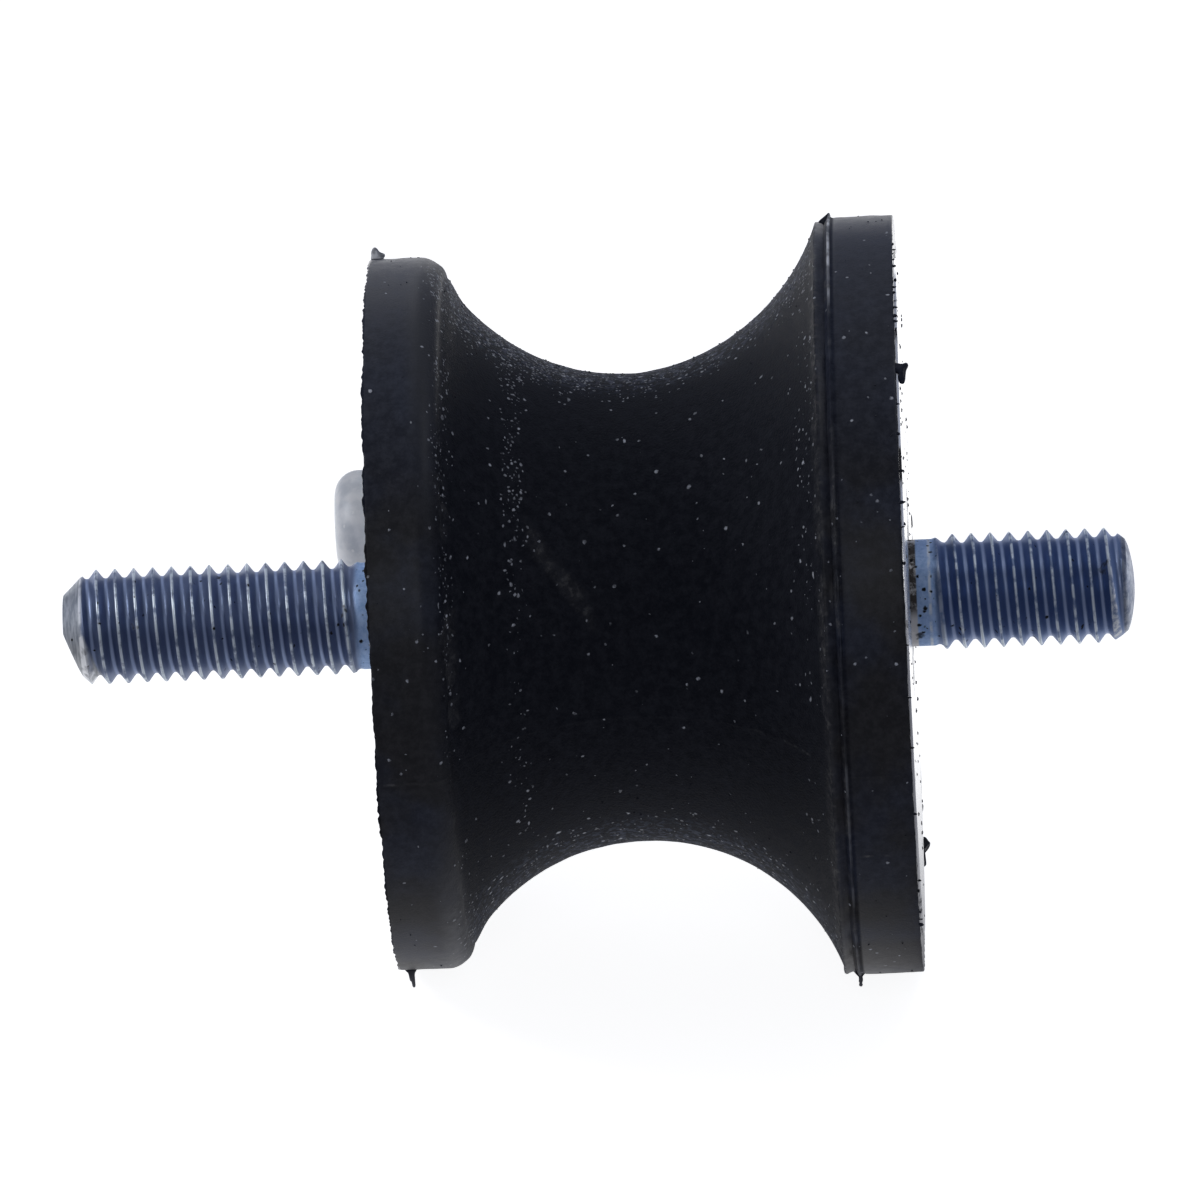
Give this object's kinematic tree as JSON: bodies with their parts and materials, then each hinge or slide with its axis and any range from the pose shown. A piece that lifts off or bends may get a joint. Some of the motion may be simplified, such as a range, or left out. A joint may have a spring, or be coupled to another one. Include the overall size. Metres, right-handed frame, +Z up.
{
  "type": "transmission mount",
  "caption": "Waisted rubber mount with a steel plate bonded into each end, a threaded stud out of each plate and a locating pin beside the longer stud; it carries a gearbox and damps its shake.",
  "frame": {"origin": "middle of the pin-side plate's outer face, on the axis of the studs", "axes": "+X along the studs towards the short stud, +Y towards the locating pin, +Z up as the mount lies in the picture"},
  "size_m": [0.0708, 0.0502, 0.0502],
  "materials": {
    "rubber": "moulded, satin, with fine grain, dust specks and trimmed flash",
    "plate_steel": "bright zinc plate",
    "stud_zinc": "blue passivated zinc, rolled thread with bright crests",
    "pin_steel": "matte mottled grey"
  },
  "bodies": {
    "root": {"rubber_body": "rubber", "pin_side_plate": "plate_steel", "plain_side_plate": "plate_steel", "long_stud": "stud_zinc", "short_stud": "stud_zinc", "locating_pin": "pin_steel"}
  },
  "joints": []
}
